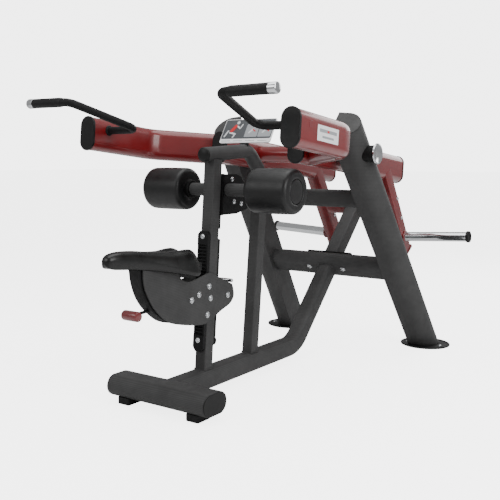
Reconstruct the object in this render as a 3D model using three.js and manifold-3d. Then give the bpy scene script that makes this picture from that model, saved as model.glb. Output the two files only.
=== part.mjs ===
import * as THREE from 'three';
import * as BufferGeometryUtils from 'three/addons/utils/BufferGeometryUtils.js';
import Module from 'manifold-3d';

const wasm = await Module();
wasm.setup();

// ---------------------------------------------------------------- driving dimensions (mm)
const Y_SHIFT = 796.1;            // puts the middle of the machine on Y = 0
const Z_FLOOR = 15;              // height of the floor in the working frame, taken off every node
const GAP = 0.3;                // clearance between touching pieces

const BEAM_W = 82, BEAM_H = 86, BEAM_R = 25, BEAM_Z = 83;
const FOOT_Y = -1546, FOOT_LEN = 140, FOOT_HALF = 248;
const STRUT_LINE = 690;         // the rising part of the beam and the strut lie on z = y + this
const LEG_X0 = 424, LEG_XK = 0.081, LEG_Y0 = 62, LEG_YK = 0.675;
const LEG_IN = 60, LEG_W = 65, LEG_D = 67, LEG_TOP = 1136;
const CROSS_Y = -247, CROSS_Z = 443;
const TOPBAR_Y = -478, TOPBAR_Z = 800;
const PIVOT_Y = -630, PIVOT_Z = 1009;
const LEVER_Z0 = 942.6, LEVER_K = 0.1051, TUBE_H = 140, TUBE_W = 75;
const TUBE_X = 205, ARM_X = 505;
const HANG_W = 76, HANG_D = 68;
const HORN_R = 25.2;
const POST = 27, POST_Y = -1306, POST_Z = 126, POST_K = 0.0871;
const REAR_Y = -972, REAR_K = 0.1036;
const ROLL_Y = -1179, ROLL_Z = 859, ROLL_R = 90, ROLL_A = 168, ROLL_B = 369;
const HANDLE_R = 16, GRIP_R = 18.8;

// ---------------------------------------------------------------- materials
const mat = (name, color, roughness, metalness) => {
  const m = new THREE.MeshStandardMaterial({ color: new THREE.Color(color), roughness, metalness });
  m.name = name;
  return m;
};
const FRAME = mat('frame_paint', '#3f4143', 0.6, 0.0);
const LEVER = mat('lever_paint', '#641a1c', 0.3, 0.0);
const BLACK = mat('black_metal', '#17181a', 0.5, 0.0);
const CHROME = mat('chrome', '#d4d6d8', 0.12, 1.0);
const RUBBER = mat('rubber', '#141415', 0.85, 0.0);
const PLASTIC = mat('cap_plastic', '#1b1c1e', 0.45, 0.0);
const PAD = mat('pad_skin', '#121213', 0.55, 0.0);
const SIGN = mat('placard', '#55585b', 0.5, 0.0);
const KNOB = mat('knob_red', '#8d1f22', 0.4, 0.0);
const STEEL = mat('shaft_grey', '#6d7074', 0.4, 0.0);

// ---------------------------------------------------------------- helpers
const V = (x, y, z) => new THREE.Vector3(x, y, z);

const toSolid = (g) => {
  let geo = g.clone();
  geo.deleteAttribute('normal');
  geo.deleteAttribute('uv');
  geo = BufferGeometryUtils.mergeVertices(geo, 1e-4);
  const mesh = new wasm.Mesh({
    numProp: 3,
    vertProperties: new Float32Array(geo.attributes.position.array),
    triVerts: new Uint32Array(geo.index.array),
  });
  mesh.merge();
  return new wasm.Manifold(mesh);
};

const toGeometry = (solid) => {
  const m = solid.getMesh();
  const g = new THREE.BufferGeometry();
  const n = m.numProp;
  const p = new Float32Array((m.vertProperties.length / n) * 3);
  for (let i = 0; i < p.length / 3; i++) {
    for (let k = 0; k < 3; k++) p[i * 3 + k] = m.vertProperties[i * n + k];
  }
  g.setAttribute('position', new THREE.BufferAttribute(p, 3));
  g.setIndex(new THREE.BufferAttribute(new Uint32Array(m.triVerts), 1));
  return g;
};

// keeps the largest piece after a cut
const main = (solid) => {
  const parts = solid.decompose();
  let best = parts[0];
  for (const p of parts) if (p.volume() > best.volume()) best = p;
  return best;
};

const rrect = (w, h, r) => {
  const s = new THREE.Shape();
  const a = w / 2, b = h / 2;
  r = Math.min(r, a - 0.01, b - 0.01);
  s.moveTo(-a + r, -b);
  s.lineTo(a - r, -b); s.absarc(a - r, -b + r, r, -Math.PI / 2, 0, false);
  s.lineTo(a, b - r); s.absarc(a - r, b - r, r, 0, Math.PI / 2, false);
  s.lineTo(-a + r, b); s.absarc(-a + r, b - r, r, Math.PI / 2, Math.PI, false);
  s.lineTo(-a, -b + r); s.absarc(-a + r, -b + r, r, Math.PI, Math.PI * 1.5, false);
  return s;
};
const stadium = (w, h) => rrect(w, h, Math.min(w, h) / 2 - 0.5);
const circle = (r) => { const s = new THREE.Shape(); s.absarc(0, 0, r, 0, Math.PI * 2, false); return s; };
const poly = (pts) => new THREE.Shape(pts.map((p) => new THREE.Vector2(p[0], p[1])));

// straight prism from a to b; the shape's x axis points along xdir
const prism = (shape, a, b, xdir, seg = 4) => {
  const t = b.clone().sub(a);
  const len = t.length();
  t.normalize();
  const n = xdir.clone().addScaledVector(t, -xdir.dot(t)).normalize();
  const bb = t.clone().cross(n);
  const g = new THREE.ExtrudeGeometry(shape, { depth: len, bevelEnabled: false, curveSegments: seg, steps: 1 });
  g.applyMatrix4(new THREE.Matrix4().makeBasis(n, bb, t).setPosition(a));
  return toSolid(g);
};

// swept tube along a run of points, each inner corner rounded to its own radius
class Run extends THREE.Curve {
  constructor(points, radii, xdir, arc = 6) {
    super();
    this.rings = [];
    const P = points;
    const put = (p, t) => this.rings.push({ p: p.clone(), t: t.clone().normalize() });
    put(P[0], P[1].clone().sub(P[0]));
    for (let i = 1; i < P.length - 1; i++) {
      const t0 = P[i].clone().sub(P[i - 1]).normalize();
      const t1 = P[i + 1].clone().sub(P[i]).normalize();
      const ang = t0.angleTo(t1);
      const R = radii[i - 1];
      const d = R * Math.tan(ang / 2);
      const start = P[i].clone().addScaledVector(t0, -d);
      const axis = t0.clone().cross(t1).normalize();
      const inward = axis.clone().cross(t0);
      const centre = start.clone().addScaledVector(inward, R);
      for (let k = 0; k <= arc; k++) {
        const q = new THREE.Quaternion().setFromAxisAngle(axis, (ang * k) / arc);
        put(centre.clone().add(start.clone().sub(centre).applyQuaternion(q)), t0.clone().applyQuaternion(q));
      }
    }
    const L = P.length;
    put(P[L - 1], P[L - 1].clone().sub(P[L - 2]));
    let n = xdir.clone();
    const t0 = this.rings[0].t;
    n.addScaledVector(t0, -n.dot(t0)).normalize();
    this.rings.forEach((r, i) => {
      if (i) n = n.clone().applyQuaternion(new THREE.Quaternion().setFromUnitVectors(this.rings[i - 1].t, r.t));
      r.n = n.clone().addScaledVector(r.t, -n.dot(r.t)).normalize();
      r.b = r.t.clone().cross(r.n);
    });
  }
  getPoint(t) { return this.rings[Math.round(t * (this.rings.length - 1))].p.clone(); }
  getSpacedPoints() { return this.rings.map((r) => r.p.clone()); }
  computeFrenetFrames() {
    return { tangents: this.rings.map((r) => r.t), normals: this.rings.map((r) => r.n), binormals: this.rings.map((r) => r.b) };
  }
}
const sweep = (shape, points, radii, xdir, seg = 4, arc = 6) => {
  const run = new Run(points, radii, xdir, arc);
  return toSolid(new THREE.ExtrudeGeometry(shape, { extrudePath: run, steps: run.rings.length - 1, curveSegments: seg }));
};

// turned piece: profile is [radius, height] along the direction a -> a + dir * height
const turned = (profile, a, dir, seg = 24) => {
  const g = new THREE.LatheGeometry(profile.map((p) => new THREE.Vector2(p[0], p[1])), seg);
  const q = new THREE.Quaternion().setFromUnitVectors(V(0, 1, 0), dir.clone().normalize());
  g.applyQuaternion(q);
  g.translate(a.x, a.y, a.z);
  const s = toSolid(g);
  if (s.volume() < 0) throw new Error('turned piece is inside out');
  return s;
};
const rod = (r, a, b, seg = 20) => turned([[0, 0], [r, 0], [r, a.distanceTo(b)], [0, a.distanceTo(b)]], a, b.clone().sub(a), seg);
const block = (x0, x1, y0, y1, z0, z1) => {
  const g = new THREE.BoxGeometry(x1 - x0, y1 - y0, z1 - z0);
  g.translate((x0 + x1) / 2, (y0 + y1) / 2, (z0 + z1) / 2);
  return toSolid(g);
};
// plate standing in a plane X = const, outline given as [y, z]
const plateX = (outline, x0, x1) => {
  const s = poly(outline.map((p) => [p[0], p[1]]));
  const g = new THREE.ExtrudeGeometry(s, { depth: x1 - x0, bevelEnabled: false, curveSegments: 4, steps: 1 });
  g.applyMatrix4(new THREE.Matrix4().makeBasis(V(0, 1, 0), V(0, 0, 1), V(1, 0, 0)).setPosition(x0, 0, 0));
  return toSolid(g);
};
const place = (solid, m) => {
  const g = toGeometry(solid);
  g.applyMatrix4(m);
  return toSolid(g);
};
const mirrorX = (solid) => solid.mirror([1, 0, 0]);

const root = new THREE.Group();
root.name = 'seated_dip_machine';
const nodes = [];
const add = (name, solid, material) => {
  const parts = solid.decompose();
  if (parts.length !== 1) throw new Error(`${name}: ${parts.length} bodies`);
  const g = toGeometry(solid);
  g.translate(0, Y_SHIFT, -Z_FLOOR);
  g.computeVertexNormals();
  const m = new THREE.Mesh(g, material);
  m.name = name;
  root.add(m);
  nodes.push([name, g.index.count / 3]);
};
const pair = (name, solid, material) => {
  add(`${name}_right`, solid, material);
  add(`${name}_left`, mirrorX(solid), material);
};

// ---------------------------------------------------------------- legs
const legAt = (z) => V(LEG_X0 - LEG_XK * z, LEG_Y0 - LEG_YK * z, z);
const legShape = (g) => {
  const s = new THREE.Shape();
  const w = LEG_W + g, v = LEG_IN + g, d = LEG_D + g, cx = -8;
  s.moveTo(-v, -d);
  s.lineTo(cx, -d);
  s.absellipse(cx, 0, w - cx, d, -Math.PI / 2, 0, false, 0);
  s.absellipse(cx, 0, w - cx, d, 0, Math.PI / 2, false, 0);
  s.lineTo(-v, d);
  s.closePath();
  return s;
};
const legBar = (g) => prism(legShape(g), legAt(-160), legAt(1330), V(1, 0, 0), 6);
const topN = V(0.10, -0.72, 0.687).normalize();
const topD = topN.dot(legAt(LEG_TOP));
const legR = (g) => legBar(g).trimByPlane([0, 0, 1], Z_FLOOR + 10.3 - g).trimByPlane([-topN.x, -topN.y, -topN.z], -topD - 4 - g);
const pivotEnd = V(0, PIVOT_Y, PIVOT_Z);
pair('leg', legBar(0).trimByPlane([0, 0, 1], Z_FLOOR + 10.3).trimByPlane([-topN.x, -topN.y, -topN.z], -topD), FRAME);
pair('leg_cap', legBar(0).trimByPlane([topN.x, topN.y, topN.z], topD + GAP).trimByPlane([-topN.x, -topN.y, -topN.z], -topD - 5), PLASTIC);
{
  const plate = turned([[0, 0], [1, 0], [1, 6.5], [0.97, 10], [0, 10]], V(0, 0, 0), V(0, 0, 1), 36);
  pair('foot_plate', place(plate, new THREE.Matrix4().makeScale(128, 118, 1).setPosition(LEG_X0, 37, Z_FLOOR)), RUBBER);
}
const legsGrown = legR(GAP).add(mirrorX(legR(GAP)));

// ---------------------------------------------------------------- floor beam and front foot
const footTube = (g) => prism(stadium(FOOT_LEN + 2 * g, BEAM_H + 2 * g), V(-FOOT_HALF + 4.3, FOOT_Y, BEAM_Z), V(FOOT_HALF - 4.3, FOOT_Y, BEAM_Z), V(0, 1, 0), 6);
add('front_foot_tube', footTube(0), FRAME);
pair('front_foot_cap', prism(stadium(FOOT_LEN, BEAM_H), V(FOOT_HALF - 4, FOOT_Y, BEAM_Z), V(FOOT_HALF, FOOT_Y, BEAM_Z), V(0, 1, 0), 6), PLASTIC);
pair('foot_pad', prism(rrect(62, 78, 12), V(176, FOOT_Y - 14, Z_FLOOR), V(176, FOOT_Y - 14, 62), V(1, 0, 0), 3).subtract(footTube(GAP)), RUBBER);

const crossLong = V(0, -1, 1).normalize();
const rise = V(0, 1, 1).normalize();
const crossC = V(0, CROSS_Y, CROSS_Z);
const crossBar = (g) => prism(stadium(140 + 2 * g, 75 + 2 * g), V(-335, CROSS_Y, CROSS_Z), V(335, CROSS_Y, CROSS_Z), crossLong, 6);
add('lower_cross_member', main(crossBar(0).subtract(legsGrown)), FRAME);
add('upper_cross_member', main(prism(rrect(100, 81, 20), V(-310, TOPBAR_Y, TOPBAR_Z), V(310, TOPBAR_Y, TOPBAR_Z), V(0, 1, 0), 4).subtract(legsGrown)), FRAME);
const beam = sweep(rrect(BEAM_W, BEAM_H, BEAM_R), [V(0, -1530, BEAM_Z), V(0, BEAM_Z - STRUT_LINE, BEAM_Z), V(0, CROSS_Y, CROSS_Z)], [150], V(1, 0, 0), 4, 7);
add('main_beam', main(beam.subtract(footTube(GAP)).subtract(crossBar(GAP))), FRAME);

// strut that stops the lever, with its bolted foot flange
const braceC = V(0, 46, 736);
const along = (c, d) => c.clone().addScaledVector(rise, d);
{
  const flange = prism(rrect(260, 104, 8), along(crossC, 37.8), along(crossC, 43.8), V(1, 0, 0), 3);
  const strut = prism(rrect(75, 75, 9), along(crossC, 43), along(braceC, -38 - 12.6), V(1, 0, 0), 3);
  add('stop_strut', flange.add(strut), FRAME);
  add('stop_bumper', prism(rrect(82, 82, 10), along(braceC, -38 - 12.3), along(braceC, -38.3), V(1, 0, 0), 3), RUBBER);
}

// ---------------------------------------------------------------- posts and neck
const postAt = (z, y = POST_Y, k = POST_K) => V(0, y + k * (z - POST_Z), z);
const neckPts = [V(0, -1291, 1003), V(0, -985, 1022), V(0, -893, 925), V(0, -896.6, 890)];
const neck = (g) => sweep(circle(30 + g), neckPts, [70, 58], V(1, 0, 0), 18, 4);
const beamTop = BEAM_Z + BEAM_H / 2;
add('neck_tube', neck(0), FRAME);
const neckDir = V(0, 307, 19).normalize();
add('neck_cap', turned([[0, 0], [30, 0], [30, 4], [24, 9], [13, 13], [0, 14.5]], neckPts[0].clone().addScaledVector(neckDir, -GAP), neckDir.clone().negate(), 20), PLASTIC);
const post = prism(rrect(54, 54, 6), postAt(90), postAt(1030), V(1, 0, 0), 3);
add('front_post', main(post.trimByPlane([0, 0, 1], beamTop + GAP).subtract(neck(GAP)).trimByPlane([0, 0, -1], -1015)), FRAME);
const rearDir = V(0, REAR_K, 1).normalize();
add('rear_post', main(prism(rrect(54, 54, 6), postAt(90, REAR_Y, REAR_K), postAt(1000, REAR_Y, REAR_K), V(1, 0, 0), 3)
  .trimByPlane([0, 0, 1], beamTop + GAP).trimByPlane([0, -rearDir.y, -rearDir.z], -rearDir.dot(neckPts[3]) + GAP)), FRAME);

// frame of the front post: local x lateral, local y to the rear, local z up the post
const pz = V(0, POST_K, 1).normalize();
const py = pz.clone().cross(V(1, 0, 0)).normalize();
const postM = new THREE.Matrix4().makeBasis(V(1, 0, 0), py, pz).setPosition(0, POST_Y, POST_Z);
const onPost = (solid) => place(solid, postM);
const S = (z) => (z - POST_Z) / pz.z;

add('rack_plate', onPost(plateX([[-27.3, S(200)], [-27.3, S(692)], [-40, S(692)], [-45, S(684)], [-45, S(208)], [-40, S(200)]], -26.5, 26.5)), BLACK);

// gas strut behind the post
{
  const Y = 49;
  const eye = onPost(turned([[0, -11], [17, -11], [17, 11], [0, 11]], V(0, Y, S(235)), V(1, 0, 0), 20));
  const lug = onPost(block(-9, 9, 27.3, Y, S(224), S(246)));
  const body = onPost(rod(14, V(0, Y, S(243)), V(0, Y, S(660)), 16));
  const stem = onPost(rod(5, V(0, Y, S(655)), V(0, Y, S(705)), 10));
  const sleeve = onPost(rod(12, V(0, Y, S(701)), V(0, Y, S(822)), 14));
  add('gas_strut', main(eye.add(lug).add(body).add(stem).add(sleeve)), BLACK);
}

// ---------------------------------------------------------------- thigh rollers
const rollAxis = (x) => V(x, ROLL_Y, ROLL_Z);
const shaft = (g) => rod(27 + g, rollAxis(-ROLL_A + GAP - g), rollAxis(ROLL_A - GAP + g), 24);
add('roller_shaft', shaft(0), STEEL);
{
  const outline = [[-1223.3, 757], [-1120, 757], [-1040, 775], [-1012, 800], [-1012, 826], [-1090, 916], [-1120, 924], [-1209, 924]];
  const cheeks = plateX(outline, 30, 36).add(plateX(outline, -36, -30));
  const back = onPost(block(-36, 36, 27.3, 33.3, S(757) + 1, S(924) - 1));
  const web = block(-33, 33, -1066, -1060, 772, 880);
  add('roller_bracket', main(cheeks.add(back).add(web).subtract(shaft(GAP))
    .subtract(prism(rrect(54.6, 54.6, 6), postAt(90), postAt(1030), V(1, 0, 0), 3))), BLACK);
}
{
  const L = ROLL_B - ROLL_A, r = 17;
  const prof = [[0, 0], [ROLL_R - r, 0]];
  for (let k = 1; k <= 4; k++) prof.push([ROLL_R - r + r * Math.sin((k * Math.PI) / 8), r - r * Math.cos((k * Math.PI) / 8)]);
  for (let k = 0; k <= 4; k++) prof.push([ROLL_R - r + r * Math.cos((k * Math.PI) / 8), L - r + r * Math.sin((k * Math.PI) / 8)]);
  prof.push([0, L]);
  pair('roller', turned(prof, rollAxis(ROLL_A), V(1, 0, 0), 28), PAD);
}

// ---------------------------------------------------------------- placard on the neck
{
  const up = V(0, 62, 103).normalize();
  const nrm = V(1, 0, 0).cross(up).normalize();   // faces the user, forward and up
  const m = new THREE.Matrix4().makeBasis(V(1, 0, 0), up, nrm).setPosition(0, -1020, 1057);
  const panel = place(prism(rrect(268, 120, 6), V(0, 60, -5), V(0, 60, 0), V(1, 0, 0), 3), m);
  add('placard_panel', panel, SIGN);
  const plate = place(block(-45, 45, 4, 84, -9.3, -5.3), m);
  const leg = place(block(-22, 22, -46, 10, -12.3, -5.3), m);
  add('placard_bracket', main(plate.add(leg).subtract(neck(GAP))), BLACK);
}

// ---------------------------------------------------------------- lever
const la = Math.atan(LEVER_K);
const leverM = new THREE.Matrix4().makeRotationX(-la).setPosition(0, 0, LEVER_Z0);
const lever = (solid) => place(solid, leverM);
const s_ = (y) => y / Math.cos(la);
const tubeSec = (g) => stadium(TUBE_W + 2 * g, TUBE_H + 2 * g);
const tubeRun = (g) => prism(tubeSec(g), V(TUBE_X, s_(-915), 0), V(TUBE_X, s_(107), 0), V(1, 0, 0), 4);
const zc = (y) => LEVER_Z0 - LEVER_K * y;
const sleeveR = (g) => rod(38 + g, V(-TUBE_X + TUBE_W / 2 + GAP, PIVOT_Y, PIVOT_Z), V(TUBE_X - TUBE_W / 2 - GAP, PIVOT_Y, PIVOT_Z), 24);
const pinR = (g) => rod(20 + g, V(-272, PIVOT_Y, PIVOT_Z), V(272, PIVOT_Y, PIVOT_Z), 20);
pair('rear_tube', lever(tubeRun(0)).subtract(pinR(GAP)), LEVER);
const capSec = rrect(81, 146, 40);
pair('tube_front_cap', lever(prism(capSec, V(TUBE_X, s_(-927), 0), V(TUBE_X, s_(-915) - GAP, 0), V(1, 0, 0), 4)), PLASTIC);
pair('tube_rear_cap', lever(prism(capSec, V(TUBE_X, s_(107) + GAP, 0), V(TUBE_X, s_(117), 0), V(1, 0, 0), 4)), PLASTIC);
add('pivot_shaft', main(sleeveR(0).add(pinR(0)).subtract(legsGrown)), BLACK);

const armRun = (g) => sweep(tubeSec(g), [V(ARM_X, s_(-1439) , 0), V(ARM_X, s_(-1060), 0), V(TUBE_X, s_(-798), 0)], [130], V(1, 0, 0), 4, 6);
const armR = main(lever(armRun(0)).subtract(lever(tubeRun(GAP))));
pair('arm', armR, LEVER);
pair('arm_cap', lever(prism(capSec, V(ARM_X, s_(-1451), 0), V(ARM_X, s_(-1439) - GAP, 0), V(1, 0, 0), 4)), PLASTIC);

// hanging weight arms
const hangAt = (z) => V(TUBE_X, 164 - 0.66 * (z - 567), z);
const hangDir = hangAt(500).sub(hangAt(600)).normalize();
const hangEnd = V(TUBE_X, 229.5, 489).addScaledVector(hangDir, 0);
const endZ = 490;
const hang = prism(rrect(HANG_W, HANG_D, 10), hangAt(960), hangAt(endZ), V(1, 0, 0), 3);
pair('hanging_arm', main(hang.subtract(lever(tubeRun(GAP)))), LEVER);
{
  const a = hangAt(endZ).addScaledVector(hangDir, GAP);
  pair('hanging_arm_cap', prism(rrect(84, 96, 12), a, a.clone().addScaledVector(hangDir, 12), V(1, 0, 0), 3), LEVER);
}
add('lever_brace', prism(rrect(76, 76, 12), V(-TUBE_X + HANG_W / 2 + GAP, braceC.y, braceC.z), V(TUBE_X - HANG_W / 2 - GAP, braceC.y, braceC.z), rise, 3), LEVER);

// weight horns
{
  const a = V(TUBE_X + HANG_W / 2 + GAP, 158, 566), b = V(600, 163, 585);
  const d = b.clone().sub(a); const L = d.length();
  pair('horn', main(turned([[0, -6], [HORN_R, -6], [HORN_R, L - 3], [HORN_R - 3, L], [0, L]], a, d, 24)
    .trimByPlane([1, 0, 0], a.x)), CHROME);
}

// handles
const hPts = [V(467.2, -1357, 1107), V(304, -1350, 1107), V(364, -1667, 1204), V(598, -1668, 1206)];
{
  const dir = hPts[3].clone().sub(hPts[2]).normalize();
  const gripStart = hPts[3].clone().addScaledVector(dir, -196);
  const pts = [hPts[0].clone(), hPts[1], hPts[2], gripStart.clone().addScaledVector(dir, -GAP)];
  pts[0] = V(473, -1357.2, 1107);
  const tube = sweep(circle(HANDLE_R), pts, [38, 38], V(0, 0, 1), 14, 5);
  pair('handle', main(tube.subtract(lever(armRun(GAP)))), BLACK);
  pair('grip', turned([[0, 0], [GRIP_R - 2, 0], [GRIP_R, 2], [GRIP_R, 194], [GRIP_R - 2, 196], [0, 196]], gripStart, dir, 20), RUBBER);
}

// pivot housings and covers on the outside of the legs
pair('bearing_housing', main(rod(37.5, V(360, PIVOT_Y, PIVOT_Z), V(441.4, PIVOT_Y, PIVOT_Z), 24).subtract(legR(GAP))), BLACK);
pair('pivot_cover', turned([[0, 0], [44, 0], [46, 2], [46, 6], [42.5, 9], [0, 9]], V(441.7, PIVOT_Y, PIVOT_Z), V(1, 0, 0), 28), CHROME);

// ---------------------------------------------------------------- seat carriage
const saddleStations = [
  // y, half width, top, bottom
  [-1854, 10, 632, 616], [-1846, 22, 646, 606], [-1820, 29, 657, 600], [-1770, 33, 658, 595], [-1710, 40, 654, 588],
  [-1650, 52, 644, 577], [-1590, 68, 638, 565], [-1530, 86, 639, 551], [-1480, 96, 640, 540], [-1445, 97, 640, 534], [-1428, 90, 634, 540],
];
const saddle = (g) => {
  const rings = saddleStations.map(([y, w, t, b], i) => {
    const end = i === 0 ? -g : i === saddleStations.length - 1 ? g : 0;
    w += g; t += g; b -= g;
    const h = t - b;
    const half = [[0, t], [0.34 * w, t - 0.015 * h], [0.66 * w, t - 0.07 * h], [0.88 * w, t - 0.2 * h], [w, t - 0.45 * h], [0.97 * w, b + 0.18 * h], [0.86 * w, b]];
    const ring = half.map((p) => [p[0], y + end, p[1]]);
    for (let k = half.length - 1; k >= 1; k--) ring.push([-half[k][0], y + end, half[k][1]]);
    return ring;
  });
  const n = rings[0].length;
  const pos = [];
  const idx = [];
  rings.forEach((r) => r.forEach((p) => pos.push(...p)));
  for (let i = 0; i < rings.length - 1; i++) {
    for (let k = 0; k < n; k++) {
      const a = i * n + k, b = i * n + ((k + 1) % n), c = a + n, d = b + n;
      idx.push(a, c, b, b, c, d);
    }
  }
  const cap = (i, flip) => {
    for (let k = 1; k < n - 1; k++) {
      if (flip) idx.push(i * n, i * n + k + 1, i * n + k);
      else idx.push(i * n, i * n + k, i * n + k + 1);
    }
  };
  cap(0, false);
  cap(rings.length - 1, true);
  const geo = new THREE.BufferGeometry();
  geo.setAttribute('position', new THREE.Float32BufferAttribute(pos, 3));
  geo.setIndex(idx);
  let s = toSolid(geo);
  if (s.volume() < 0) {
    for (let k = 0; k < idx.length; k += 3) [idx[k], idx[k + 1]] = [idx[k + 1], idx[k]];
    geo.setIndex(idx);
    s = toSolid(geo);
  }
  return s;
};
add('saddle', saddle(0), PAD);

const plateOutline = [
  [-1690, 600], [-1690, 535], [-1671, 485], [-1630, 426], [-1561, 370], [-1479, 343], [-1360, 316], [-1233, 357],
  [-1162, 376], [-1139, 405], [-1148, 461], [-1188, 478], [-1254, 508], [-1300, 527], [-1350, 520], [-1438, 508], [-1483, 529], [-1510, 560], [-1600, 600],
];
pair('carriage_plate', main(plateX(plateOutline, 27.9, 33.9).subtract(saddle(GAP))), FRAME);

const latchTip = V(0, -1722, 417);
const latchPivot = V(0, -1419, 432);
{
  const outer = [[-1711, 600], [-1711, 581], [-1702, 533], [-1677, 473], [-1630, 417], [-1560, 368]];
  const inner = [[-1549, 385], [-1616, 432], [-1659, 482], [-1682, 538], [-1690, 581], [-1690, 600]];
  const strip = plateX(outer.concat(inner), -24, 24).subtract(saddle(GAP));
  const slot = block(-9.5, 9.5, -1700, -1575, 410, 452);
  add('carriage_front_strip', main(strip.subtract(slot)), RUBBER);
  const bar = rod(6, latchTip, latchPivot, 12);
  const boss = rod(14, V(-12, latchPivot.y, latchPivot.z), V(12, latchPivot.y, latchPivot.z), 16);
  const pawl = plateX([[-1425, 424], [-1355, 430], [-1334, 446], [-1334, 456], [-1360, 452], [-1425, 442]], -6, 6);
  add('latch_lever', main(bar.add(boss).add(pawl)), BLACK);
  add('latch_knob', turned([[0, -38], [14, -38], [19, -33], [19, 33], [14, 38], [0, 38]], latchTip, V(1, 0, 0), 18).subtract(rod(6 + GAP, latchTip.clone().addScaledVector(V(0, 0, 0), 0), latchPivot, 12)), KNOB);
}

let total = 0;
for (const [, t] of nodes) total += t;
console.log(`${nodes.length} nodes, ${total} triangles`);

export default root;
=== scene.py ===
import bpy
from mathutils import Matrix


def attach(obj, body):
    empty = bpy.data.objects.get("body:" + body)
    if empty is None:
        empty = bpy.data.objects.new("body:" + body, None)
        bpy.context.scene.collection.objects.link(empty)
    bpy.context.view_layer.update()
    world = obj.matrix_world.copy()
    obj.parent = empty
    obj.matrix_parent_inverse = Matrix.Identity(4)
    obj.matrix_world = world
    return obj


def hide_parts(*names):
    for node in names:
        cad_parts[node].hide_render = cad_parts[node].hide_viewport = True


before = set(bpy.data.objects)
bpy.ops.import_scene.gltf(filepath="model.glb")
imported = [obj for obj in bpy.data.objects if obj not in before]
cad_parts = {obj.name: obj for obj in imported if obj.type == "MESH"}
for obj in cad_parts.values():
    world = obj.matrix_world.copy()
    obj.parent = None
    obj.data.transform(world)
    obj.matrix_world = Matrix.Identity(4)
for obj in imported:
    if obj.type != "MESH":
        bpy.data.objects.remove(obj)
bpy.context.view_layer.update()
import bpy, bmesh, math
from mathutils import Vector as V, Matrix, Quaternion

YS = 796.1
ZS = -15.0


def P(x, y, z):
    return V((x, y + YS, z + ZS)) / 1000.0


# ------------------------------------------------------------------ materials
def lin(c):
    return tuple(((v / 255) / 12.92 if v / 255 <= 0.04045 else ((v / 255 + 0.055) / 1.055) ** 2.4) for v in c) + (1,)


class Mat:
    def __init__(self, name):
        self.m = bpy.data.materials.new(name)
        self.m.use_nodes = True
        self.t = self.m.node_tree
        self.b = self.t.nodes["Principled BSDF"]
        self.co = self.t.nodes.new("ShaderNodeTexCoord").outputs["Object"]

    def n(self, kind, **kw):
        x = self.t.nodes.new(kind)
        for k, v in kw.items():
            if k in x.inputs:
                x.inputs[k].default_value = v
            else:
                setattr(x, k, v)
        return x

    def link(self, a, b):
        self.t.links.new(a, b)

    def noise(self, scale, detail=3, rough=0.5, vec=None):
        x = self.n("ShaderNodeTexNoise")
        x.inputs["Scale"].default_value = scale
        x.inputs["Detail"].default_value = detail
        x.inputs["Roughness"].default_value = rough
        self.link(vec or self.co, x.inputs["Vector"])
        return x.outputs["Fac"]

    def voronoi(self, scale, feature="F1"):
        x = self.n("ShaderNodeTexVoronoi")
        x.feature = feature
        x.inputs["Scale"].default_value = scale
        self.link(self.co, x.inputs["Vector"])
        return x.outputs["Distance"]

    def ramp(self, src, lo, hi):
        x = self.n("ShaderNodeMapRange")
        self.link(src, x.inputs["Value"])
        x.inputs["From Min"].default_value = 0.3
        x.inputs["From Max"].default_value = 0.7
        x.inputs["To Min"].default_value = lo
        x.inputs["To Max"].default_value = hi
        return x.outputs["Result"]

    def mixc(self, fac, a, b):
        x = self.n("ShaderNodeMix")
        x.data_type = "RGBA"
        self.link(fac, x.inputs[0])
        for sock, v in ((x.inputs[6], a), (x.inputs[7], b)):
            if isinstance(v, tuple):
                sock.default_value = v
            else:
                self.link(v, sock)
        return x.outputs[2]

    def bump(self, src, strength, dist, after=None):
        x = self.n("ShaderNodeBump")
        x.inputs["Strength"].default_value = strength
        x.inputs["Distance"].default_value = dist
        self.link(src, x.inputs["Height"])
        if after:
            self.link(after, x.inputs["Normal"])
        return x.outputs["Normal"]

    def set(self, color=None, rough=None, metal=None, normal=None, coat=None, sheen=None, spec=None):
        def put(name, v):
            s = self.b.inputs[name]
            if isinstance(v, (int, float, tuple)):
                s.default_value = v
            else:
                self.link(v, s)
        for name, v in (("Base Color", color), ("Roughness", rough), ("Metallic", metal), ("Normal", normal)):
            if v is not None:
                put(name, v)
        if coat is not None:
            put("Coat Weight", coat[0]); put("Coat Roughness", coat[1])
        if sheen is not None:
            put("Sheen Weight", sheen)
        if spec is not None:
            put("Specular IOR Level", spec)
        return self.m


def powder(name, c, k=1.0):
    m = Mat(name)
    a = tuple(v * 0.86 * k for v in lin(c)[:3]) + (1,)
    b = tuple(v * 1.16 * k for v in lin(c)[:3]) + (1,)
    big = m.ramp(m.noise(9, 4), 0, 1)
    col = m.mixc(big, a, b)
    # fine horizontal banding of the textured coat
    sep = m.n("ShaderNodeSeparateXYZ"); m.link(m.co, sep.inputs[0])
    w = m.n("ShaderNodeMath", operation="MULTIPLY"); m.link(sep.outputs[2], w.inputs[0]); w.inputs[1].default_value = 2 * math.pi / 0.0062
    s = m.n("ShaderNodeMath", operation="SINE"); m.link(w.outputs[0], s.inputs[0])
    mr = m.n("ShaderNodeMapRange"); m.link(s.outputs[0], mr.inputs["Value"])
    mr.inputs["From Min"].default_value = -1; mr.inputs["From Max"].default_value = 1
    mr.inputs["To Min"].default_value = 0.0; mr.inputs["To Max"].default_value = 0.24
    col = m.mixc(mr.outputs["Result"], col, (0.004, 0.004, 0.0045, 1))
    grain = m.noise(1500, 2, 0.6)
    n = m.bump(grain, 0.35, 0.0004)
    n = m.bump(m.noise(260, 2), 0.12, 0.0008, n)
    return m.set(col, m.ramp(m.noise(40, 3), 0.5, 0.64), 0.0, n, spec=0.22)


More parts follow.
